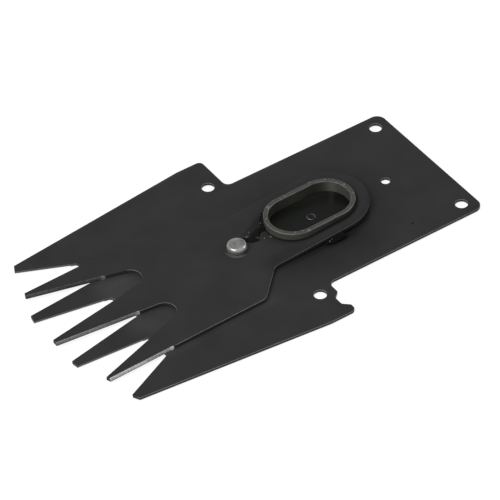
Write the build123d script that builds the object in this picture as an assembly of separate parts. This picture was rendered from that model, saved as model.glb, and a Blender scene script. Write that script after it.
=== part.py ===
"""Blade set of a pair of battery grass shears: a fixed comb, a moving comb riveted over it, and the oval
collar through which the machine's eccentric swings the moving comb from side to side.

Millimetres, +Z up, teeth towards -Y. The origin is the centre of the drive axle's hole, level with the
underside of the fixed blade. The moving comb is shown a little off centre, as it came to rest.
"""
import os
from math import radians, sqrt, tan
from build123d import *

# Fixed blade: a flat plate with a narrow rear, two wings and four teeth
PLATE = 1.1                # thickness
REAR_WIDTH = 62.3
REAR_LENGTH = 65.8         # rear edge to the shoulders
REAR_CORNER = 3.4
AXLE_FROM_REAR = 51.4      # rear edge to the drive axle's hole
SHOULDER_FILLET = 2.4
WING_WIDTH = 95.2
WING_SIDE = 10.2           # straight side of each wing, before it tapers to the outer tooth
WING_CORNER = 1.9
ROOT_FROM_REAR = 129.2     # rear edge to the bottoms of the gaps between the teeth
MID_ROOT_FROM_REAR = 126.6 # the same at the right-hand end of the middle gap, whose bottom runs aslant
ROOT_FILLET = 1.1
BLADE_LENGTH = 157.2       # rear edge to the front of the arc on which the tips lie
TIP_ARC = 87.0
TIP_FILLET = 0.3
CUT_WIDTH = 80.0           # across the outer tips
OUTER_TIP = 2.7            # width of an outer tooth at its tip
OUTER_ROOT_X = 28.2        # inner edge of an outer tooth at its root
INNER_TIP = 3.1
INNER_TIP_X = 13.5
INNER_ROOT = 10.3
INNER_ROOT_X = 12.0

# Holes and the notch in the fixed blade
SCREW_HOLE = 4.5
HOLE_EDGE = 5.6            # hole centre to the rear and side edges, and to the shoulder
FRONT_HOLE_SIDE = 13.3     # front hole's centre to the wing's side
AXLE_HOLE = 3.0
LOCATING_HOLE = 3.2
LOCATING_FROM_REAR = 19.6
NOTCH_FROM_SIDE = 7.1      # middle of the notch to the wing's side
NOTCH_WIDTH = 8.0
NOTCH_FLOOR = 3.6
NOTCH_DEPTH = 2.4
NOTCH_FLOOR_FILLET = 1.2
NOTCH_LIP_FILLET = 0.7

# Moving blade: lengths are taken from its pivot
ARM = 30.8                 # pivot to the middle of the drive slot, and to the axle hole when centred
MOVING = 1.5               # thickness
REST_TURN = 1.3            # degrees off centre in the pose shown
BODY_WIDTH = 52.7
SHOULDER_AHEAD = 6.4       # pivot forward to where the sloping shoulder meets the side
SHOULDER_BEHIND = 5.2      # pivot back to where it meets the tail
SHOULDER_ROUND = 3.0
TAIL_MARGIN = 4.75         # width of metal round the collar
TAIL_RISE = 2.2            # degrees by which the tail lifts off the fixed blade
TAIL_BEND = 40.0           # inner radius of the bend
MOVING_REACH = 74.4        # pivot to the tips
MID_TIP = 2.2
MID_FLARE = 7.72           # degrees by which each side of the middle tooth spreads towards its root
SIDE_TIP = 1.7
SIDE_FLARE = 16.7          # the same, for the inner side of a side tooth
VALLEY_ROUND = 4.2         # round end of the gap between two teeth
MOVING_TIP_FILLET = 0.2

# Ground cutting edges
GRIND_START = 43.6         # pivot forward to where the ground zone begins
RELIEF = 0.28              # how far a ground side leans back over the plate's thickness

# Collar for the eccentric
SLOT_WIDTH = 17.4
THROW = 6.9                # throw of the eccentric, half the slot's length past its width
COLLAR_WALL = 1.75
COLLAR_TOP = 4.5           # rim above the fixed blade
COLLAR_EDGE = 0.4
FOOT_SPAN = 31.8           # across the two feet under the tail
FOOT_LENGTH = 6.0
FOOT_GAP = 0.1             # foot above the fixed blade

# Pivot rivet
HEAD = 7.1
HEAD_HEIGHT = 2.3
HEAD_EDGE = 1.3
SHANK = 5.0
TENON = 3.6
UPSET = 6.4                # formed head under the fixed blade
UPSET_HEIGHT = 0.6
UPSET_EDGE = 0.35
RUNNING_FIT = 0.04         # radial, shank in the moving blade
HEAD_PLAY = 0.04           # under the head
TENON_FIT = 0.02           # radial, tenon in the fixed blade

REAR_Y = AXLE_FROM_REAR
SHOULDER_Y = REAR_Y - REAR_LENGTH
ROOT_Y = REAR_Y - ROOT_FROM_REAR
MID_ROOT_Y = REAR_Y - MID_ROOT_FROM_REAR
ARC_Y = REAR_Y - BLADE_LENGTH + TIP_ARC
SLOT_LENGTH = SLOT_WIDTH + 2 * THROW
COLLAR_WIDTH = SLOT_WIDTH + 2 * COLLAR_WALL
TAIL_WIDTH = COLLAR_WIDTH + 2 * TAIL_MARGIN
PAST = 2.0                 # how far a cutting shape runs past what it cuts


def closed(points):
    return make_face(Polyline(*points, close=True))


def mirrored(points):
    """The points, then their mirror images in reverse, so that half an outline closes on the other half."""
    return points + [(-x, y) for x, y in reversed(points)]


def rounded(face, corners, radius):
    """The face with the vertices nearest to the given corners filleted."""
    picked = [min(face.vertices(), key=lambda v: (v.X - x) ** 2 + (v.Y - y) ** 2) for x, y in corners]
    return fillet(picked, radius)


def on_arc(x):
    """The point of the fixed comb's tip arc at this x."""
    return (x, ARC_Y - sqrt(TIP_ARC ** 2 - x ** 2))


def between(start, end, y):
    """The point at height y on the line through start and end."""
    return (start[0] + (end[0] - start[0]) * (y - start[1]) / (end[1] - start[1]), y)


def relief(edge, start_y, edge_z, away_z):
    """The wedge that grinding takes off the side of a tooth, from start_y to past its tip.

    The edge runs with the metal on its left. It stays sharp at edge_z, and the side leans back towards away_z.
    """
    heights = [start_y, min(edge[0][1], edge[1][1]) - PAST]
    if edge[0][1] < edge[1][1]:
        heights.reverse()
    start, end = [Vector(*between(*edge, y)) for y in heights]
    along = end - start
    plane = Plane(origin=start, x_dir=Vector(-along.Y, along.X), z_dir=along)
    far_z = edge_z + 2 * (away_z - edge_z)
    wedge = closed([(-RELIEF, edge_z), (0, edge_z), (2 * RELIEF, far_z), (-RELIEF, far_z)])
    return extrude(plane * wedge, along.length)


def fixed_edges():
    """The cutting edges of the two right-hand fixed teeth, each with the metal on its left."""
    outer = ((OUTER_ROOT_X, ROOT_Y), on_arc(CUT_WIDTH / 2 - OUTER_TIP))
    inner_right = (on_arc(INNER_TIP_X + INNER_TIP / 2), (INNER_ROOT_X + INNER_ROOT / 2, ROOT_Y))
    inner_left = ((INNER_ROOT_X - INNER_ROOT / 2, ROOT_Y), on_arc(INNER_TIP_X - INNER_TIP / 2))
    return outer, inner_right, inner_left


def fixed_outline():
    (outer_root, outer_tip), (right_tip, right_root), (left_root, left_tip) = fixed_edges()
    rear = (REAR_WIDTH / 2, REAR_Y)
    inside = (REAR_WIDTH / 2, SHOULDER_Y)
    wing = (WING_WIDTH / 2, SHOULDER_Y)
    taper = (WING_WIDTH / 2, SHOULDER_Y - WING_SIDE)
    corner = on_arc(CUT_WIDTH / 2)
    mid_root = between(left_root, left_tip, MID_ROOT_Y)
    half = [rear, inside, wing, taper, corner, outer_tip, outer_root, right_root, right_tip, left_tip]
    face = closed(half + [mid_root, (-left_root[0], ROOT_Y)] + mirrored(half)[len(half):])
    face = rounded(face, mirrored([rear]), REAR_CORNER)
    face = rounded(face, mirrored([inside]), SHOULDER_FILLET)
    face = rounded(face, mirrored([wing]), WING_CORNER)
    face = rounded(face, mirrored([corner, outer_tip, right_tip, left_tip]), TIP_FILLET)
    roots = mirrored([outer_root, right_root]) + [mid_root, (-left_root[0], ROOT_Y)]
    return rounded(face, roots, ROOT_FILLET)


def notch():
    """The scoop in the right shoulder, which keys the blade in its machine."""
    middle = WING_WIDTH / 2 - NOTCH_FROM_SIDE
    floor_y = SHOULDER_Y - NOTCH_DEPTH
    left = middle - NOTCH_WIDTH / 2
    right = middle + NOTCH_WIDTH / 2
    floor = [(middle - NOTCH_FLOOR / 2, floor_y), (middle + NOTCH_FLOOR / 2, floor_y)]
    scoop = closed([(left, SHOULDER_Y + PAST), (left, SHOULDER_Y)] + floor
                   + [(right, SHOULDER_Y), (right, SHOULDER_Y + PAST)])
    return rounded(scoop, floor, NOTCH_FLOOR_FILLET), [(left, SHOULDER_Y), (right, SHOULDER_Y)]


def fixed_blade():
    face = fixed_outline()
    scoop, lips = notch()
    face = rounded(face - scoop, lips, NOTCH_LIP_FILLET)
    rear_x = REAR_WIDTH / 2 - HOLE_EDGE
    front_x = WING_WIDTH / 2 - FRONT_HOLE_SIDE
    for side in (-1, 1):
        face -= Pos(side * rear_x, REAR_Y - HOLE_EDGE) * Circle(SCREW_HOLE / 2)
        face -= Pos(side * front_x, SHOULDER_Y - HOLE_EDGE) * Circle(SCREW_HOLE / 2)
    face -= Circle(AXLE_HOLE / 2)
    face -= Pos(0, REAR_Y - LOCATING_FROM_REAR) * Circle(LOCATING_HOLE / 2)
    face -= Pos(0, -ARM) * Circle(TENON / 2 + TENON_FIT)
    blade = extrude(face, PLATE)
    for edge in fixed_edges():
        cut = relief(edge, ROOT_Y - 2 * ROOT_FILLET, PLATE, 0)
        blade -= cut
        blade -= mirror(cut, Plane.YZ)
    return blade


def on_sweep(x):
    """The point at this x of the circle that the moving tips sweep."""
    return (x, -sqrt(MOVING_REACH ** 2 - x ** 2))


def moving_edges():
    """The cutting edges of the right half of the moving comb, each with the metal on its left.

    The two sides of a gap between teeth meet at the point from which its round end is struck.
    """
    mid_tip = on_sweep(MID_TIP / 2)
    side_tip = on_sweep(BODY_WIDTH / 2 - SIDE_TIP)
    mid_slope = tan(radians(MID_FLARE))
    side_slope = tan(radians(SIDE_FLARE))
    meet_y = side_tip[0] - mid_tip[0] + mid_slope * mid_tip[1] + side_slope * side_tip[1]
    meet_y /= mid_slope + side_slope
    meet = (mid_tip[0] + mid_slope * (meet_y - mid_tip[1]), meet_y)
    return (mid_tip, meet), (meet, side_tip), (on_sweep(BODY_WIDTH / 2), (BODY_WIDTH / 2, -SHOULDER_AHEAD))


def moving_outline():
    (mid_tip, meet), (_, side_tip), (corner, shoulder) = moving_edges()
    tail = (TAIL_WIDTH / 2, SHOULDER_BEHIND)
    face = closed(mirrored([(TAIL_WIDTH / 2, ARM + THROW), tail, shoulder, corner, side_tip, meet, mid_tip]))
    face = rounded(face, mirrored([tail, shoulder]), SHOULDER_ROUND)
    face = rounded(face, mirrored([meet]), VALLEY_ROUND)
    face = rounded(face, mirrored([corner, side_tip, mid_tip]), MOVING_TIP_FILLET)
    return face + Pos(0, ARM + THROW) * Circle(TAIL_WIDTH / 2)


def beneath(level):
    """All that lies under a sheet at this level above the moving blade's underside, with the bend of its tail."""
    rise = radians(TAIL_RISE)
    front = -MOVING_REACH - PAST
    rear = ARM + THROW + TAIL_WIDTH / 2 + PAST
    bend = (SHOULDER_BEHIND - level * tan(rise / 2), PLATE + level)
    rear_z = bend[1] + (rear - bend[0]) * tan(rise)
    side_view = closed([(front, 0), (rear, 0), (rear, rear_z), bend, (front, PLATE + level)])
    side_view = rounded(side_view, [bend], TAIL_BEND + MOVING - level)
    return extrude(Plane.YZ * side_view, BODY_WIDTH / 2 + PAST, both=True)


def oval(width):
    """The slot's outline, widened evenly all round to the given width."""
    return Pos(0, ARM) * SlotOverall(width + 2 * THROW, width, rotation=90)


def moving_blade():
    face = moving_outline() - oval(COLLAR_WIDTH) - Circle(SHANK / 2 + RUNNING_FIT)
    blade = extrude(face, COLLAR_TOP + PAST) & (beneath(MOVING) - beneath(0))
    for edge in moving_edges():
        cut = relief(edge, -GRIND_START, PLATE, PLATE + MOVING)
        blade -= cut
        blade -= mirror(cut, Plane.YZ)
    return blade


def drive_collar():
    foot_z = PLATE + FOOT_GAP
    ring = Pos(0, 0, foot_z) * extrude(oval(COLLAR_WIDTH) - oval(SLOT_WIDTH), COLLAR_TOP - FOOT_GAP)
    rim = ring.edges().group_by(Axis.Z)[-1]
    ring = fillet(rim, COLLAR_EDGE)
    feet = Pos(0, ARM) * Rectangle(FOOT_SPAN, FOOT_LENGTH) - oval(COLLAR_WIDTH)
    feet = Pos(0, 0, foot_z) * extrude(feet, COLLAR_TOP) & beneath(0)
    return ring + feet


def pivot_rivet():
    top = PLATE + MOVING + HEAD_PLAY
    radii = [(0, -UPSET_HEIGHT), (UPSET / 2, -UPSET_HEIGHT), (UPSET / 2, 0), (TENON / 2, 0), (TENON / 2, PLATE)]
    radii += [(SHANK / 2, PLATE), (SHANK / 2, top), (HEAD / 2, top), (HEAD / 2, top + HEAD_HEIGHT)]
    radii += [(0, top + HEAD_HEIGHT)]
    half = closed(radii)
    half = rounded(half, [(HEAD / 2, top + HEAD_HEIGHT)], HEAD_EDGE)
    lower = min(half.vertices(), key=lambda v: v.Y - v.X)
    half = chamfer(lower, UPSET_EDGE)
    return revolve(Plane.XZ * half, Axis.Z)


def build():
    at_pivot = Pos(0, -ARM)
    turned = at_pivot * Rot(0, 0, REST_TURN)
    return {
        "fixed_blade": fixed_blade(),
        "moving_blade": turned * moving_blade(),
        "drive_collar": turned * drive_collar(),
        "pivot_rivet": at_pivot * pivot_rivet(),
    }


os.makedirs("parts", exist_ok=True)
for name, solid in build().items():
    export_step(solid, f"parts/{name}.step")
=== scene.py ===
"""Blade set of a pair of battery grass shears, lying on a white studio table."""
import math

import bmesh
import bpy
from mathutils import Matrix, Quaternion, Vector, noise


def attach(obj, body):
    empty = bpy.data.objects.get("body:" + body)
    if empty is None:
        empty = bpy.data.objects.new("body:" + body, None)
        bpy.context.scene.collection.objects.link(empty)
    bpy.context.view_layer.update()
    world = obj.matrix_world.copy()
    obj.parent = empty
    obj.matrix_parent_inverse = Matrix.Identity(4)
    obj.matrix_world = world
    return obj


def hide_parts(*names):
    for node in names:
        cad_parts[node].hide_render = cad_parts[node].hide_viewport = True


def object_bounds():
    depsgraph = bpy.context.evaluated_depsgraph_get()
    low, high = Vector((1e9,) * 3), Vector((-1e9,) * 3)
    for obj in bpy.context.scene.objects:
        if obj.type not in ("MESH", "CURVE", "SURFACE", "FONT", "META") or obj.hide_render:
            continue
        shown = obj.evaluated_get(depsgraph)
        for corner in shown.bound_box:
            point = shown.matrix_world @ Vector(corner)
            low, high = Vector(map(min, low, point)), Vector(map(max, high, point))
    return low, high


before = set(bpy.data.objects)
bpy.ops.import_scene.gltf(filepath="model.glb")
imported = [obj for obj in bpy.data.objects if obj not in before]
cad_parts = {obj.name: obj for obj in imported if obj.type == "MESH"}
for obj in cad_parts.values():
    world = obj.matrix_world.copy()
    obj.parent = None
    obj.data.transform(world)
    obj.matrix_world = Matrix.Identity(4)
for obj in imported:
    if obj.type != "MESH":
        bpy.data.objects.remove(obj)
cad_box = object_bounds()


# Camera
# A long lens, 1.2 m away, looks down on the teeth from the right, and is turned a little about its own axis.
# Its place was worked out from the blade's straight edges and holes.
CAMERA_PLACE = Vector((0.73974, -0.48761, 0.78433))
CAMERA_AIM = Vector((0.00059, -0.0259, 0.0))
CAMERA_ROLL = math.radians(-3.11)
SENSOR_MM = 36.0
LENS_MM = 246.1

lens = bpy.data.cameras.new("lens")
lens.sensor_width = SENSOR_MM
lens.lens = LENS_MM
camera = bpy.data.objects.new("camera", lens)
bpy.context.scene.collection.objects.link(camera)
camera.rotation_mode = "QUATERNION"
camera.location = CAMERA_PLACE
camera.rotation_quaternion = (
    (CAMERA_AIM - CAMERA_PLACE).to_track_quat("-Z", "Y") @ Quaternion((0, 0, 1), CAMERA_ROLL)
)
bpy.context.scene.camera = camera
bpy.context.scene.view_settings.view_transform = "Standard"


# Table and studio
# A seamless white table under the blade, which keeps a faint shadow of it, in an evenly white room.
# Both are plain white to the camera and in reflections, and only their softer real light falls on the blade.
class Wire:
    """One output of a shader node. Sums, differences and products of wires and numbers add Math nodes."""

    def __init__(self, shader, socket):
        self.shader = shader
        self.socket = socket

    def maths(self, operation, *values, **settings):
        settings["operation"] = operation
        return self.shader.node("ShaderNodeMath", settings, dict(enumerate(values)))

    def __add__(self, other):
        return self.maths("ADD", self, other)

    def __sub__(self, other):
        return self.maths("SUBTRACT", self, other)

    def __rsub__(self, other):
        return self.maths("SUBTRACT", other, self)

    def __mul__(self, other):
        return self.maths("MULTIPLY", self, other)

    def __abs__(self):
        return self.maths("ABSOLUTE", self)

    def root_of_squares(self, other):
        """How far away a point is whose two coordinates these are."""
        total = self * self + other * other
        return total.maths("SQRT", total)

    def rise(self, low, high):
        """0 up to low and 1 from high on, or the other way round where low is the greater."""
        return self.shader.node("ShaderNodeMapRange", None, {0: self, 1: low, 2: high})

    def span(self, low, high):
        """The number low where this is 0 and high where it is 1."""
        return low + (high - low) * self

    def tint(self, low, high):
        """The colour low where this is 0 and high where it is 1."""
        return self.shader.node("ShaderNodeMix", {"data_type": "RGBA"}, {0: self, 6: low, 7: high}, 2)

    __radd__ = __add__
    __rmul__ = __mul__


class Shader:
    """The nodes of one material, or of the room."""

    def __init__(self, owner):
        owner.use_nodes = True
        self.tree = owner.node_tree
        self.tree.nodes.clear()

    def node(self, kind, settings=None, inputs=None, output=0):
        """Adds a node, sets it, feeds its sockets with values or wires, and returns one of its outputs."""
        made = self.tree.nodes.new(kind)
        for name, value in (settings or {}).items():
            setattr(made, name, value)
        for name, value in (inputs or {}).items():
            if isinstance(value, Wire):
                self.tree.links.new(value.socket, made.inputs[name])
            else:
                made.inputs[name].default_value = value
        return Wire(self, made.outputs[output]) if made.outputs else None

    def shown_white(self):
        """1 for rays from the camera and for reflections, and 0 for the light that falls on things."""
        direct, mirrored, through = [
            self.node("ShaderNodeLightPath", output=f"Is {kind} Ray")
            for kind in ("Camera", "Glossy", "Transmission")
        ]
        seen = direct + mirrored
        return seen.maths("ADD", seen, through, use_clamp=True)


TABLE_Z = cad_box[0].z
TABLE_HALF = 2.0
ROOM_LIGHT = 0.45
TABLE_COLOUR = (0.8, 0.8, 0.8, 1)
SHADOW_SHARE = 0.15
SHOWN_GLOW = 0.88
WHITE = (1, 1, 1, 1)

room = bpy.data.worlds.new("room")
bpy.context.scene.world = room
studio = Shader(room)
lit = studio.node("ShaderNodeBackground", None, {"Color": WHITE, "Strength": ROOM_LIGHT})
shown = studio.node("ShaderNodeBackground", None, {"Color": WHITE, "Strength": 1.0})
both = studio.node("ShaderNodeMixShader", None, {0: studio.shown_white(), 1: lit, 2: shown})
studio.node("ShaderNodeOutputWorld", None, {"Surface": both})

top = bmesh.new()
bmesh.ops.create_grid(top, x_segments=1, y_segments=1, size=TABLE_HALF)
bmesh.ops.translate(top, vec=(0, 0, TABLE_Z), verts=top.verts)
table_mesh = bpy.data.meshes.new("table")
top.to_mesh(table_mesh)
top.free()
table = bpy.data.objects.new("table", table_mesh)
bpy.context.scene.collection.objects.link(table)
table_paint = bpy.data.materials.new("white_table")
paint = Shader(table_paint)
lit = paint.node("ShaderNodeBsdfDiffuse", None, {"Color": TABLE_COLOUR})
shade = paint.node("ShaderNodeBsdfDiffuse", None, {"Color": (SHADOW_SHARE, SHADOW_SHARE, SHADOW_SHARE, 1)})
glow = paint.node("ShaderNodeEmission", None, {"Color": WHITE, "Strength": SHOWN_GLOW})
shown = paint.node("ShaderNodeAddShader", None, {0: shade, 1: glow})
both = paint.node("ShaderNodeMixShader", None, {0: paint.shown_white(), 1: lit, 2: shown})
paint.node("ShaderNodeOutputMaterial", None, {"Surface": both})
table_mesh.materials.append(table_paint)


# Studio lamps
# Two soft boxes, one before the teeth and one beyond the rear, whose bright squares show on the rivet, and a
# weak one overhead.
def soft_box(name, place, size, watts):
    """A square lamp that faces the blade's middle."""
    lamp = bpy.data.lights.new(name, "AREA")
    lamp.shape = "SQUARE"
    lamp.size = size
    lamp.energy = watts
    box = bpy.data.objects.new(name, lamp)
    bpy.context.scene.collection.objects.link(box)
    box.location = place
    box.rotation_mode = "QUATERNION"
    box.rotation_quaternion = (CAMERA_AIM - box.location).to_track_quat("-Z", "Y")


soft_box("front_box", Vector((0.17, -0.82, 0.86)), size=0.9, watts=14.0)
soft_box("rear_box", Vector((0.32, 1.0, 0.60)), size=0.6, watts=4.5)
soft_box("top_box", Vector((-0.1, 0.1, 1.4)), size=0.9, watts=2.0)


# Fixed blade
# A comb of 1.1 mm spring steel, stamped, tumbled so that its edges are a little round, and coated black. The
# inner sides of its teeth are ground after that, so they are bare and sharp.
PLATE = 0.0011
EDGE_ROUND = 0.00014
CORNER = math.radians(35)
SAME_PLANE = math.radians(1)
SAME_POINT = 1e-6
TOOTH_ROOT_Y = -0.0778
FLANK_X = 0.0380
GRIND_START = 0.0001
SLOT_RUN = 0.0069

# The coating and the bare steel under it, on both blades
COATING = 0.0222
COATING_SHEEN = 0.04
COATING_ROUGHNESS = 0.24
ROUGHNESS_CHANGE = 0.1
CLOUDS_PER_METRE = 75.0
CLOUD_CHANGE = 0.5
LIGHTENED_CLOUDS = (0.2, 0.6)
GRAINS_PER_METRE = 2600.0
GRAIN_CHANGE = 2.6
GRAIN_STRENGTH = 0.1
GRAIN_DEPTH = 0.0002
BARE_METAL = 0.5
# The worn edges' tone, painted lighter as a highlight, and the share of it on edges that face away from the
# camera
EDGE_WEAR_AND_HIGHLIGHT = 0.17
FAR_EDGE_SHARE = 0.15

# Which way a face looks, as the share of its normal that points up, sideways or toward the camera
CUT_SIDE = (0.8, 0.5)
CORNER_TOP = (0.97, 0.9)
CORNER_FOOT = (0.2, 0.35)
GROUND_SIDE = (0.5, 0.8)
NEAR_SIDE = (-0.1, 0.3)
TOWARD_CAMERA = (0.85, -0.53)

# Where the fixed blade is lighter, where it is darker, and by how much. Its cut sides are painted lighter
# than the top, a strip beside the moving comb's right edge is painted light, the left border carries a
# painted edge highlight over wear, and the darkening round the slot is painted shade under the moving blade's
# tail with oil.
FIXED_STEEL = 0.08
FIXED_WALLS = 0.036
VALLEY_TONE = 0.0115
VALLEY_SIDES = (0.022, 0.018)
VALLEY_REAR = (-0.045, -0.056)
VALLEY_FRONT = (-0.084, -0.076)
BORDER_TONE = 0.010
WING_EDGE = (1, 0.094)
WING_BORDER = (-0.0482, -0.0497)
REAR_BORDER = (-0.0300, -0.0310)
SHOULDER = (-0.0150, -0.0140)
BESIDE_TONE = 0.0069
COMB_EDGE = (1, 0.0227)
COMB_BORDER = (0.0290, 0.0262)
BESIDE_START = (0.020, 0.024)
BESIDE_REAR = (-0.030, -0.036)
DARK_REACH = (0.030, 0.0155)
DARK_LEAST = 0.14
DARK_MOST = 0.56
DARK_RIGHT = (0.006, 0.016)
DARK_AHEAD = (0.018, 0.006)
SPECK_X = 0.0238
SPECK_Y = 0.0261
SPECK_EDGE = (0.0006, 0.0003)
SPECK_DARK = 0.75


def along(direction, x, y):
    """How far a place lies in a direction across the plate."""
    return direction[0] * x + direction[1] * y


def coated_steel(name, walls, lightened, darker, ground, steel):
    """Black coating, worn thin along the edges and painted lighter there as a highlight, most where they face
    the camera, over bare steel where ground says so from x and y.

    walls is the tone of the coating on the cut edges, painted lighter than the top as light falls there. The
    others
    are worked out from the place: lightened is how much lighter the coating is painted, darker the share of
    its tone that is left, and steel the tone of bare steel.
    """
    material = bpy.data.materials.new(name)
    finish = Shader(material)
    point = finish.node("ShaderNodeTexCoord", output="Object")
    x, y, z = [finish.node("ShaderNodeSeparateXYZ", None, {0: point}, output=axis) for axis in "XYZ"]
    normal = finish.node("ShaderNodeNewGeometry", output="Normal")
    sideways, onward, upward = [
        finish.node("ShaderNodeSeparateXYZ", None, {0: normal}, output=axis) for axis in "XYZ"]
    side = abs(upward).rise(*CUT_SIDE)
    near = along(TOWARD_CAMERA, sideways, onward).rise(*NEAR_SIDE)
    # Worn edges, painted lighter still where they face the camera, as a highlight
    wear_and_highlight = upward.rise(*CORNER_TOP) * upward.rise(*CORNER_FOOT) * near.span(FAR_EDGE_SHARE, 1)
    bare = side * abs(sideways).rise(*GROUND_SIDE) * ground(x, y)
    cloud, grain = [
        finish.node("ShaderNodeTexNoise", None, {"Vector": point, "Scale": scale, "Detail": detail})
        for scale, detail in ((CLOUDS_PER_METRE, 4.0), (GRAINS_PER_METRE, 3.0))
    ]
    clouding, graining = cloud - 0.5, grain - 0.5
    kept = darker(x, y)
    black = COATING * (1 + CLOUD_CHANGE * clouding) + lightened(x, y) * cloud.rise(*LIGHTENED_CLOUDS)
    # The cut sides take the walls tone, painted lighter than the top as light falls there
    black = black * kept + side * (walls - COATING)
    black = black * (1 - wear_and_highlight) + EDGE_WEAR_AND_HIGHLIGHT * (1 + clouding) * wear_and_highlight * kept * kept
    tone = black * (1 - bare) + steel(x, y, z) * (1 + GRAIN_CHANGE * graining) * bare
    colour = finish.node("ShaderNodeCombineColor", None, {0: tone, 1: tone, 2: tone})
    rough = COATING_ROUGHNESS + ROUGHNESS_CHANGE * (clouding + graining)
    bump = finish.node(
        "ShaderNodeBump", None, {"Strength": GRAIN_STRENGTH, "Distance": GRAIN_DEPTH, "Height": grain})
    shader = finish.node("ShaderNodeBsdfPrincipled", None, {
        "Base Color": colour, "Roughness": rough, "Metallic": BARE_METAL * bare, "Normal": bump,
        "Specular IOR Level": COATING_SHEEN})
    finish.node("ShaderNodeOutputMaterial", None, {"Surface": shader})
    return material


def piece(name, shape, material, body):
    """Makes a finished piece of a shape, smooth but for its sharp corners, which moves with a body."""
    mesh = bpy.data.meshes.new(name)
    shape.to_mesh(mesh)
    shape.free()
    mesh.shade_smooth()
    mesh.set_sharp_from_angle(angle=CORNER)
    mesh.materials.append(material)
    made = bpy.data.objects.new(name, mesh)
    bpy.context.scene.collection.objects.link(made)
    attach(made, body)
    return made


def eased(node, cutting):
    """The node's shape with its corners a little rounded, apart from those near a point that is cutting."""
    shape = bmesh.new()
    shape.from_mesh(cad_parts[node].data)
    bmesh.ops.remove_doubles(shape, verts=shape.verts, dist=SAME_POINT)
    bmesh.ops.dissolve_limit(shape, angle_limit=SAME_PLANE, verts=shape.verts, edges=shape.edges)
    corners = [
        edge for edge in shape.edges
        if edge.calc_face_angle(0) > CORNER and not any(cutting(*corner.co.xy) for corner in edge.verts)
    ]
    bmesh.ops.bevel(
        shape, geom=corners, affect="EDGES", offset=EDGE_ROUND, segments=2, profile=0.5, material=-1)
    return shape


def from_slot(x, y):
    """How far a place is from the middle line of the drive slot."""
    beyond = abs(y) - SLOT_RUN
    return x.root_of_squares(beyond.maths("MAXIMUM", beyond, 0.0))


def fixed_lightened(x, y):
    """Lighter in the moving comb's valleys, with a painted edge highlight over wear along the left border,
    and painted light beside the moving comb's right edge, where the comb's shade falls.
    """
    valleys = y.rise(*VALLEY_REAR) * y.rise(*VALLEY_FRONT) * abs(x).rise(*VALLEY_SIDES)
    border = along(WING_EDGE, x, y).rise(*WING_BORDER) + x.rise(*REAR_BORDER) * y.rise(*SHOULDER)
    beside = along(COMB_EDGE, x, y).rise(*COMB_BORDER) * x.rise(*BESIDE_START) * y.rise(*BESIDE_REAR)
    return VALLEY_TONE * valleys + BORDER_TONE * border + BESIDE_TONE * beside


def fixed_shade_and_oil(x, y):
    """Darker round the slot, most of all on its right, as painted shade beside and under the moving blade's
    tail with oil, and in one speck near the rear's right edge.
    """
    near = x.rise(*DARK_RIGHT) * y.rise(*DARK_AHEAD)
    speck = (x - SPECK_X).root_of_squares(y - SPECK_Y).rise(*SPECK_EDGE)
    return 1 - from_slot(x, y).rise(*DARK_REACH) * near.span(DARK_LEAST, DARK_MOST) - SPECK_DARK * speck


def fixed_ground(x, y):
    """The sides of the teeth, apart from the outer flanks."""
    return y.rise(TOOTH_ROOT_Y + GRIND_START, TOOTH_ROOT_Y) * abs(x).rise(FLANK_X + GRIND_START, FLANK_X)


fixed_coating = coated_steel(
    "fixed_coating", FIXED_WALLS, fixed_lightened, fixed_shade_and_oil, fixed_ground, lambda x, y, z: FIXED_STEEL)
fixed_comb = piece(
    "fixed_comb", eased("fixed_blade", lambda x, y: y < TOOTH_ROOT_Y and abs(x) < FLANK_X), fixed_coating,
    "fixed")
fixed_comb.modifiers.new("even_flats", "WEIGHTED_NORMAL").keep_sharp = True
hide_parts("fixed_blade")


# Moving blade
# A comb of 1.5 mm steel with the same coating, ground along the front part of its three teeth's sides. Their
# ground steel is painted brighter from the left tooth to the right one, as reflections fall on it, and darker
# at the wall's foot as painted shade, with painted highlights along the burr at the top and where the wheel
# first touched each side.
MOVING_TOP = 0.0026
MOVING_GRIND_Y = -0.0744
TOUCH_LENGTH = 0.0016
BURR = 0.0003
PIVOT_Y = -0.0308

# The tones of the ground steel, painted as reflections fall, where two from the left tooth to the right one,
# and the share left toward the tips and, as painted shade, at the wall's foot
TEETH_X = (-0.030, 0.028)
TEETH_Y = (-0.101, -0.076)
WALL_FOOT_SHADE = (0.0013, 0.0018)
LEAST_STEEL = 0.02
GROUND_STEEL = (0.06, 0.56)
TOUCH_HIGHLIGHT = (0.1, 0.4)
BURR_HIGHLIGHT = (0.05, 0.25)
TIP_SHARE = 0.55
FOOT_SHARE = 0.35

# Where a painted reflection of the rivet's bright side lightens the coating beside the rivet, and the tone of
# the cut sides, painted a little lighter than the top as light falls there
MOVING_WALLS = 0.026
RIVET_REFLECTION = 0.12
REFLECTION_REACH = (0.0048, 0.0035)
REFLECTION_SIDE = (0.7, -0.71)
REFLECTION_START = (0.0016, 0.0040)

# Where it is darker, with a ring of painted shade at the collar's foot, and the share of its tone that is
# left there
TAIL_DARK = (0.0165, 0.0110)
TAIL_SHARE = 0.78
FOOT_SHADE = (0.0112, 0.0107)
FOOT_SHADE_SHARE = 0.4
WEDGE_LEFT = (0.906, 0.424)
WEDGE_LEFT_EDGE = (-0.0156, -0.0148)
WEDGE_RIGHT = (-0.958, 0.288)
WEDGE_RIGHT_EDGE = (-0.004, -0.0025)
WEDGE_REAR = (-0.0125, -0.0145)
WEDGE_SHARE = 0.64
EDGE_DARK = (0.0125, 0.0145)
EDGE_SIDE = (1, 0.15)
EDGE_START = (0.005, 0.009)
EDGE_FRONT = (-0.030, -0.025)
EDGE_SHARE = 0.72


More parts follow.
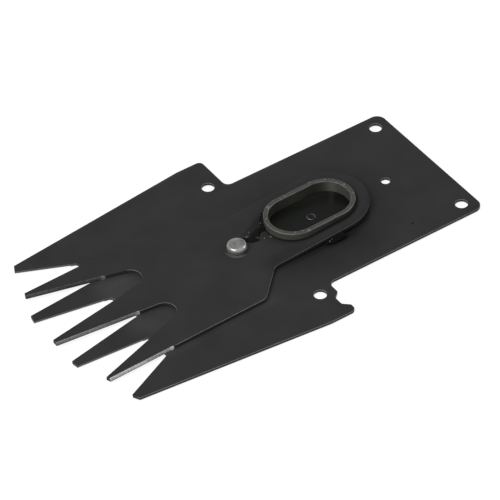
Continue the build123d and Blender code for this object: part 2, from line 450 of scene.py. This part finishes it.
def moving_steel(x, y, z):
    """Painted brighter on the right teeth as reflections fall, and toward their roots, darker at the wall's
    foot as painted shade, with painted highlights on the burr and where the wheel first touched.
    """
    share = x.rise(*TEETH_X)
    # Painted brighter to the right as reflections fall, and darker at the wall's foot as painted shade
    ground = (share * share).span(*GROUND_STEEL) * y.rise(*TEETH_Y).span(TIP_SHARE, 1)
    ground = ground * z.rise(*WALL_FOOT_SHADE).span(FOOT_SHARE, 1)
    # Painted highlights where the wheel first touched and along the burr
    touch_highlight = y.rise(MOVING_GRIND_Y - TOUCH_LENGTH, MOVING_GRIND_Y - TOUCH_LENGTH / 2)
    burr_highlight = z.rise(MOVING_TOP - BURR, MOVING_TOP - BURR / 2)
    return LEAST_STEEL + ground + share.span(*TOUCH_HIGHLIGHT) * touch_highlight + share.span(*BURR_HIGHLIGHT) * burr_highlight


def moving_rivet_reflection(x, y):
    """A painted reflection of the rivet's bright side, in a crescent beside the rivet, on the camera's side.
    """
    ahead = y - PIVOT_Y
    crescent = x.root_of_squares(ahead).rise(*REFLECTION_REACH) * along(REFLECTION_SIDE, x, ahead).rise(*REFLECTION_START)
    return RIVET_REFLECTION * crescent


def moving_darker(x, y):
    """Darker round the collar, in a ring of painted shade at its foot, in a wedge to the rivet and along the
    tail's right edge.
    """
    away = from_slot(x, y)
    tail = away.rise(*TAIL_DARK)
    # A ring of painted shade in the corner at the collar's foot
    foot = away.rise(*FOOT_SHADE)
    wedge = along(WEDGE_LEFT, x, y).rise(*WEDGE_LEFT_EDGE) * along(WEDGE_RIGHT, x, y).rise(*WEDGE_RIGHT_EDGE)
    wedge = wedge * y.rise(*WEDGE_REAR)
    edge = away.rise(*EDGE_DARK) * along(EDGE_SIDE, x, y).rise(*EDGE_START) * y.rise(*EDGE_FRONT)
    dark = tail.span(1, TAIL_SHARE) * foot.span(1, FOOT_SHADE_SHARE)
    return dark * wedge.span(1, WEDGE_SHARE) * edge.span(1, EDGE_SHARE)


moving_coating = coated_steel(
    "moving_coating", MOVING_WALLS, moving_rivet_reflection, moving_darker,
    lambda x, y: y.rise(MOVING_GRIND_Y + GRIND_START, MOVING_GRIND_Y), moving_steel)
moving_comb = piece(
    "moving_comb", eased("moving_blade", lambda x, y: y < MOVING_GRIND_Y), moving_coating,
    "moving")
moving_comb.modifiers.new("even_flats", "WEIGHTED_NORMAL").keep_sharp = True
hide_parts("moving_blade")


# Drive collar
# An oval ring of hard sintered metal, olive grey from its oil bath, set into the moving blade's tail. Its
# rounded rim edges are painted lighter as highlight lines over a little wear, and its rims are speckled. Its
# walls are painted lighter than its top, the inner ones darker toward the front and the outer ones darker
# toward the rear, as painted light and shade, and a painted reflection band lies inside the left one.
COLLAR_OLIVE = (0.018, 0.019, 0.0152, 1)
COLLAR_PALE = (0.030, 0.031, 0.025, 1)
COLLAR_LIT_WALL = (0.049, 0.051, 0.0425, 1)
COLLAR_SHADED_WALL = (0.010, 0.0112, 0.0088, 1)
COLLAR_HIGHLIGHT_AND_WEAR = (0.122, 0.124, 0.112, 1)
COLLAR_SHEEN = 0.3
COLLAR_ROUGHNESS = (0.3, 0.5)
MOTTLES_PER_METRE = 350.0
MOTTLE_STRENGTH = 0.25
MOTTLE_DEPTH = 0.0002
SPECKS_PER_METRE = 800.0
SPECK_SIZE = (0.68, 0.72)

# The rim, from which way it looks, and where its rounded edges are painted lighter as highlight lines over
# wear
RIM = (0.2, 0.6)
RIM_FLAT = (0.97, 0.8)
RIM_MOTTLES = (0.3, 0.6)
RIM_SHARE = 0.8

# The walls, painted lighter and darker toward their ends as light and shade, and the painted reflection patch
# inside the left one
WALL = (0.5, 0.1)
INSIDE = (0.0096, 0.0093)
INSIDE_LIT_Y = (-0.014, 0.007)
INSIDE_LEAST = 0.15
OUTSIDE_LIT_Y = (0.004, -0.010)
OUTSIDE_LEAST = 0.35
PATCH_X = -0.0066
PATCH_SIDES = (0.0020, 0.0004)
PATCH_FRONT = (0.008, 0.009)
PATCH_TOP = (0.3, 0.1)
PATCH_SHARE = 0.4

collar_paint = bpy.data.materials.new("sintered_olive")
olive = Shader(collar_paint)
point = olive.node("ShaderNodeTexCoord", output="Object")
x, y = [olive.node("ShaderNodeSeparateXYZ", None, {0: point}, output=axis) for axis in "XY"]
normal = olive.node("ShaderNodeNewGeometry", output="Normal")
upward = olive.node("ShaderNodeSeparateXYZ", None, {0: normal}, output="Z")
mottle = olive.node("ShaderNodeTexNoise", None, {"Vector": point, "Scale": MOTTLES_PER_METRE, "Detail": 5.0})
specks = olive.node("ShaderNodeTexNoise", None, {"Vector": point, "Scale": SPECKS_PER_METRE, "Detail": 1.0})
rim = upward.rise(*RIM)
# The rounded rim edges are painted lighter, as highlight lines over a little wear
lightened = rim * upward.rise(*RIM_FLAT) * mottle.rise(*RIM_MOTTLES)
# A painted reflection band on the left inner wall, toward its rear end
patch = abs(x - PATCH_X).rise(*PATCH_SIDES) * y.rise(*PATCH_FRONT) * upward.rise(*PATCH_TOP)
inside = from_slot(x, y).rise(*INSIDE)
# The walls are painted lighter than the top, and darker toward one end, as light and shade
wall_lit = inside * y.rise(*INSIDE_LIT_Y).span(INSIDE_LEAST, 1)
wall_lit = wall_lit + (1 - inside) * y.rise(*OUTSIDE_LIT_Y).span(OUTSIDE_LEAST, 1)
colour = mottle.tint(COLLAR_OLIVE, COLLAR_PALE)
colour = upward.rise(*WALL).tint(colour, wall_lit.tint(COLLAR_SHADED_WALL, COLLAR_LIT_WALL))
# Painted highlights and reflection, over wear and specks on the rim
wear_and_highlight = RIM_SHARE * lightened + PATCH_SHARE * patch + specks.rise(*SPECK_SIZE) * rim
colour = wear_and_highlight.tint(colour, COLLAR_HIGHLIGHT_AND_WEAR)
bump = olive.node(
    "ShaderNodeBump", None, {"Strength": MOTTLE_STRENGTH, "Distance": MOTTLE_DEPTH, "Height": mottle})
shader = olive.node("ShaderNodeBsdfPrincipled", None, {
    "Base Color": colour, "Roughness": mottle.span(*COLLAR_ROUGHNESS), "Normal": bump,
    "Specular IOR Level": COLLAR_SHEEN})
olive.node("ShaderNodeOutputMaterial", None, {"Surface": shader})
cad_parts["drive_collar"].data.materials.clear()
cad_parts["drive_collar"].data.materials.append(collar_paint)


# Pivot rivet
# A bright steel rivet on which the moving blade swings. It was struck over: its head bulges at the side and
# has a dulled flat on top, and its lower end is formed against the fixed blade.
RIVET_DULL = (0.12, 0.12, 0.12, 1)
RIVET_STRUCK = (0.24, 0.24, 0.236, 1)
RIVET_BRIGHT = (0.25, 0.25, 0.246, 1)
RIVET_METAL = (0.7, 1.0)
RIVET_ROUGHNESS = (0.2, 0.4)
BLOTCHES_PER_METRE = 450.0
BLOTCH_EDGES = (0.3, 0.7)
BLOTCH_STRENGTH = 0.3
BLOTCH_DEPTH = 0.0002
FLAT_TOP = (0.93, 0.99)
HEAD_FLAT = 0.0027
HEAD_RADIUS = 0.0037
HEAD_LOW_RADIUS = 0.0036
HEAD_FOOT = 0.0033
HEAD_TOP = 0.0052
HEAD_BULGE = 0.0034
HEAD_LOW = 0.0031
HEAD_UNDER = 0.00264
HEAD_STEPS = 12
SHANK = 0.0025
TENON = 0.0018
UPSET = 0.0032
UPSET_HEIGHT = 0.0006
TURNING_STEPS = 72

rivet_paint = bpy.data.materials.new("struck_steel")
struck = Shader(rivet_paint)
point = struck.node("ShaderNodeTexCoord", output="Object")
normal = struck.node("ShaderNodeNewGeometry", output="Normal")
upward = struck.node("ShaderNodeSeparateXYZ", None, {0: normal}, output="Z")
blotch = struck.node(
    "ShaderNodeTexNoise", None, {"Vector": point, "Scale": BLOTCHES_PER_METRE, "Detail": 4.0})
flat = upward.rise(*FLAT_TOP)
colour = flat.tint(RIVET_BRIGHT, blotch.rise(*BLOTCH_EDGES).tint(RIVET_DULL, RIVET_STRUCK))
bump = struck.node(
    "ShaderNodeBump", None, {"Strength": BLOTCH_STRENGTH, "Distance": BLOTCH_DEPTH, "Height": blotch})
shader = struck.node("ShaderNodeBsdfPrincipled", None, {
    "Base Color": colour, "Roughness": (blotch * flat).span(*RIVET_ROUGHNESS),
    "Metallic": flat.span(*RIVET_METAL), "Normal": bump})
struck.node("ShaderNodeOutputMaterial", None, {"Surface": shader})


def turned(section):
    """The solid that half a section makes when it turns about the Z axis."""
    shape = bmesh.new()
    line = [shape.verts.new((across, 0, up)) for across, up in section]
    for start, end in zip(line, line[1:]):
        shape.edges.new((start, end))
    bmesh.ops.spin(
        shape, geom=shape.edges[:], cent=(0, 0, 0), axis=(0, 0, 1), angle=2 * math.pi, steps=TURNING_STEPS,
        use_merge=True)
    bmesh.ops.remove_doubles(shape, verts=shape.verts, dist=SAME_POINT)
    bmesh.ops.recalc_face_normals(shape, faces=shape.faces)
    return shape


# Half its section, from the middle of the head's top down to the middle of the formed end
section = [(0, HEAD_TOP)]
for step in range(HEAD_STEPS + 1):
    turn = math.pi / 2 * step / HEAD_STEPS
    section.append((
        HEAD_FLAT + (HEAD_RADIUS - HEAD_FLAT) * math.sin(turn),
        HEAD_BULGE + (HEAD_TOP - HEAD_BULGE) * math.cos(turn)))
section += [(HEAD_LOW_RADIUS, HEAD_LOW), (HEAD_FOOT, HEAD_UNDER)]
section += [(SHANK, HEAD_UNDER), (SHANK, PLATE), (TENON, PLATE), (TENON, 0)]
section += [
    (UPSET, 0), (UPSET, -UPSET_HEIGHT / 2), (UPSET - UPSET_HEIGHT / 2, -UPSET_HEIGHT), (0, -UPSET_HEIGHT)]
head = turned(section)
bmesh.ops.translate(head, vec=(0, PIVOT_Y, 0), verts=head.verts)
struck_rivet = piece("struck_rivet", head, rivet_paint, "fixed")
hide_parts("pivot_rivet")


# Grease in the slot
# A thin film of the assembler's dark grease on the fixed blade inside the collar, which reaches under the
# collar's wall all round. It lies as the collar does in the photo, 1.3 degrees off the blade's middle.
FILM = 0.00004
FILM_WIDTH = 0.0192
FILM_SEGMENTS = 96
REST_TURN = math.radians(1.3)
GREASE = (0.0045, 0.0052, 0.0045, 1)
FILM_TONE = (0.0034, 0.0042, 0.0034, 1)
FLECK = (0.17, 0.17, 0.16, 1)
LUMPS_PER_METRE = 1400.0
LUMP_STRENGTH = 0.5
LUMP_DEPTH = 0.0002
FLECK_EDGE = 0.05
GREASE_ROUGHNESS = (0.25, 0.45)
# Where the film is painted lighter: a band of painted reflection, and painted light toward the collar's left
# wall
BAND = (0.6, 0.79)
BAND_PLACE = 0.0066
BAND_SIDES = (0.0014, 0.0003)
BAND_RUN = (0.79, -0.6)
BAND_END = (-0.005, -0.009)
BAND_SHARE = 0.035
LIFT_SIDE = (1, -0.25)
LIFT_START = (-0.0065, -0.0100)
LIFT_SHARE = 0.034


def grease_paint(name, flecks, sheen, tone=GREASE, light=lambda x, y: 0):
    """Dark grease. flecks is how much of it is pale, from 0 to 1, the pale flecks being crumbs and painted
    highlights for the grease's glints, and light how much more at x and y.
    """
    material = bpy.data.materials.new(name)
    wet = Shader(material)
    point = wet.node("ShaderNodeTexCoord", output="Object")
    lump = wet.node("ShaderNodeTexNoise", None, {"Vector": point, "Scale": LUMPS_PER_METRE, "Detail": 3.0})
    x, y = [wet.node("ShaderNodeSeparateXYZ", None, {0: point}, output=axis) for axis in "XY"]
    pale = lump.rise(1 - flecks, 1 - flecks + FLECK_EDGE) + light(x, y)
    bump = wet.node(
        "ShaderNodeBump", None, {"Strength": LUMP_STRENGTH, "Distance": LUMP_DEPTH, "Height": lump})
    shader = wet.node("ShaderNodeBsdfPrincipled", None, {
        "Base Color": pale.tint(tone, FLECK), "Roughness": lump.span(*GREASE_ROUGHNESS), "Normal": bump,
        "Specular IOR Level": sheen})
    wet.node("ShaderNodeOutputMaterial", None, {"Surface": shader})
    return material


def film_painted_light(x, y):
    """The film is painted lighter toward the collar's left wall, where the wall's shade falls, and carries a
    painted reflection band that runs to its rear end.
    """
    band = abs(along(BAND, x, y) - BAND_PLACE).rise(*BAND_SIDES) * along(BAND_RUN, x, y).rise(*BAND_END)
    return LIFT_SHARE * along(LIFT_SIDE, x, y).rise(*LIFT_START) + BAND_SHARE * band


film = bmesh.new()
bmesh.ops.create_circle(film, cap_ends=True, segments=FILM_SEGMENTS, radius=FILM_WIDTH / 2)
for half in (-1, 1):
    verts = [vert for vert in film.verts if vert.co.y * half > 0]
    bmesh.ops.translate(film, vec=(0, half * SLOT_RUN, 0), verts=verts)
grown = bmesh.ops.extrude_face_region(film, geom=film.faces[:])["geom"]
bmesh.ops.translate(
    film, vec=(0, 0, FILM), verts=[item for item in grown if isinstance(item, bmesh.types.BMVert)])
bmesh.ops.recalc_face_normals(film, faces=film.faces)
bmesh.ops.translate(film, vec=(0, 0, PLATE), verts=film.verts)
bmesh.ops.rotate(film, cent=(0, PIVOT_Y, 0), matrix=Matrix.Rotation(REST_TURN, 3, "Z"), verts=film.verts)
film_paint = grease_paint("grease_film", flecks=0.20, sheen=0.07, tone=FILM_TONE, light=film_painted_light)
piece("slot_grease", film, film_paint, "fixed")


# Dark plug in the axle hole
# A plug under the film, in the film's paint, which keeps the axle hole dark. Its underside sags a little and
# is uneven.
AXLE_HOLE = 0.0015
PLUG_SECTION = (
    (0, 0.0008), (AXLE_HOLE, 0.0008), (AXLE_HOLE, 0.00045), (0.00138, 0.00034), (0.0011, 0.00022),
    (0.0007, 0.00012), (0.0003, 0.00007), (0, 0.00006))
PLUG_SAG_TOP = 0.0004
PLUG_SAG_CHANGE = 0.5
GREASE_WAVES = 900

plug = turned(PLUG_SECTION)
for vert in plug.verts:
    if vert.co.z < PLUG_SAG_TOP:
        vert.co.z *= 1 + PLUG_SAG_CHANGE * noise.noise(vert.co * GREASE_WAVES)
piece("axle_grease", plug, film_paint, "fixed")


# Grease round the axle hole
# A fine ring of pale, glossy grease that was pressed out round the hole's edge, in two crescents of uneven
# height.
LIP_RADIUS = 0.0002
LIP_INWARD = 0.0001
LIP_UP = 0.00005
LIP_SEGMENTS = 10
LIP_STEPS = 60
LIP_HEIGHT = 0.7
LIP_CHANGE = 0.8
LIP_TURN = math.radians(15)

lip = bmesh.new()
bmesh.ops.create_circle(
    lip, segments=LIP_SEGMENTS, radius=LIP_RADIUS,
    matrix=Matrix.Translation((AXLE_HOLE - LIP_INWARD, 0, PLATE + LIP_UP))
    @ Matrix.Rotation(math.pi / 2, 4, "X"))
bmesh.ops.spin(
    lip, geom=lip.edges[:], cent=(0, 0, 0), axis=(0, 0, 1), angle=2 * math.pi, steps=LIP_STEPS,
    use_merge=True)
bmesh.ops.recalc_face_normals(lip, faces=lip.faces)
for vert in lip.verts:
    uneven = LIP_HEIGHT + LIP_CHANGE * noise.noise(vert.co * GREASE_WAVES)
    crescent = abs(math.sin(math.atan2(vert.co.y, vert.co.x) - LIP_TURN))
    vert.co.z = PLATE + (vert.co.z - PLATE) * uneven * crescent
piece(
    "axle_grease_lip", lip, grease_paint("grease_lip", flecks=0.36, sheen=0.8), "fixed")


# Grease between collar and rivet
# A dark wedge of grease on the moving blade, dragged from the collar's foot to the rivet in three overlapping
# lumps. It is matt, and turns with the blade.
SMEAR_SUBDIVISIONS = 5
SMEAR_RAGGED = 0.2
SMEAR_RAGS = 1.6
SMEAR_HEIGHT = 0.75
SMEAR_LUMPY = 0.5
SMEAR_LUMPS = 5
SMEAR_BASE = -0.15


def smear(shape, start, end, widths, height, base, seed):
    """A lump of grease lying on a plate from start to end, with an uneven outline and top."""
    start, end = Vector(start), Vector(end)
    along_it = end - start
    reach = along_it.length / 2
    made = bmesh.ops.create_icosphere(shape, subdivisions=SMEAR_SUBDIVISIONS, radius=1.0)["verts"]
    turn = math.atan2(along_it.y, along_it.x)
    for vert in made:
        place = vert.co.copy()
        ragged = 1 + SMEAR_RAGGED * noise.noise(place * SMEAR_RAGS + Vector((seed, 0, 0)))
        taper = widths[0] + (widths[1] - widths[0]) * (place.x + 1) / 2
        lump = SMEAR_HEIGHT + SMEAR_LUMPY * noise.noise(place * SMEAR_LUMPS + Vector((0, seed, 0)))
        vert.co = Vector((
            place.x * reach * ragged, place.y * taper * ragged, max(place.z, SMEAR_BASE) * height * lump))
    bmesh.ops.rotate(shape, cent=(0, 0, 0), matrix=Matrix.Rotation(turn, 3, "Z"), verts=made)
    middle = (start + end) / 2
    bmesh.ops.translate(shape, vec=(middle.x, middle.y, base), verts=made)


pivot_smear = bmesh.new()
smear(
    pivot_smear, start=(-0.0104, -0.0136), end=(-0.0018, -0.0186), widths=(0.0008, 0.0012), height=0.0005,
    base=MOVING_TOP + 0.0004, seed=1.0)
smear(
    pivot_smear, start=(-0.0044, -0.0166), end=(-0.0008, -0.0246), widths=(0.0012, 0.0021), height=0.0005,
    base=MOVING_TOP + 0.0002, seed=3.0)
smear(
    pivot_smear, start=(0.0012, -0.0214), end=(-0.0030, -0.0272), widths=(0.0013, 0.0016), height=0.0004,
    base=MOVING_TOP, seed=5.0)
smear_paint = grease_paint("grease_smear", flecks=0.27, sheen=0.02)
piece("pivot_grease", pivot_smear, smear_paint, "moving")


# Grease at the foot
# One lump of the same matt grease, squeezed out between the fixed blade and the foot under the tail's right
# edge.
foot_lump = bmesh.new()
smear(
    foot_lump, start=(0.0152, -0.0046), end=(0.0156, 0.0044), widths=(0.0011, 0.0013), height=0.0012,
    base=0.0018, seed=9.0)
piece("foot_grease", foot_lump, smear_paint, "moving")


# Crumbs
# Pale crumbs of dried grease and dust, which stick in the wedge and in the lump at the foot, and whose pale
# colour also stands in as painted highlights for the glints on the wet grease. Each is a small ragged ball,
# pressed flat, and has its x, y and z and its radius here.
CRUMBS = (
    (-0.00277, -0.02494, 0.0029, 0.00036),
    (-0.0003, -0.02205, 0.0030, 0.0004),
    (-0.00078, -0.01986, 0.0033, 0.00032),
    (0.0012, -0.02004, 0.0029, 0.00034),
    (0.00122, -0.01873, 0.0029, 0.0003),
    (0.00226, -0.01819, 0.0030, 0.00046),
    (-0.00567, -0.01716, 0.0032, 0.00018),
    (-0.00903, -0.01488, 0.0032, 0.00018),
    (-0.00471, -0.02281, 0.0027, 0.00018),
    (0.01602, -0.00309, 0.0030, 0.00024),
    (0.01559, -0.00195, 0.0031, 0.00028),
)
CRUMB_CHANGE = 0.5
CRUMB_WAVES = 4000
CRUMB_FLATNESS = 0.45

crumbs = bmesh.new()
for number, (x, y, z, size) in enumerate(CRUMBS):
    made = bmesh.ops.create_icosphere(crumbs, subdivisions=2, radius=size)["verts"]
    for vert in made:
        vert.co *= 1 + CRUMB_CHANGE * noise.noise(vert.co * CRUMB_WAVES + Vector((number, 0, 0)))
        vert.co.z *= CRUMB_FLATNESS
    bmesh.ops.translate(crumbs, vec=(x, y, z), verts=made)
piece(
    "grease_flecks", crumbs, grease_paint("grease_fleck", flecks=0.45, sheen=0.3), "moving")
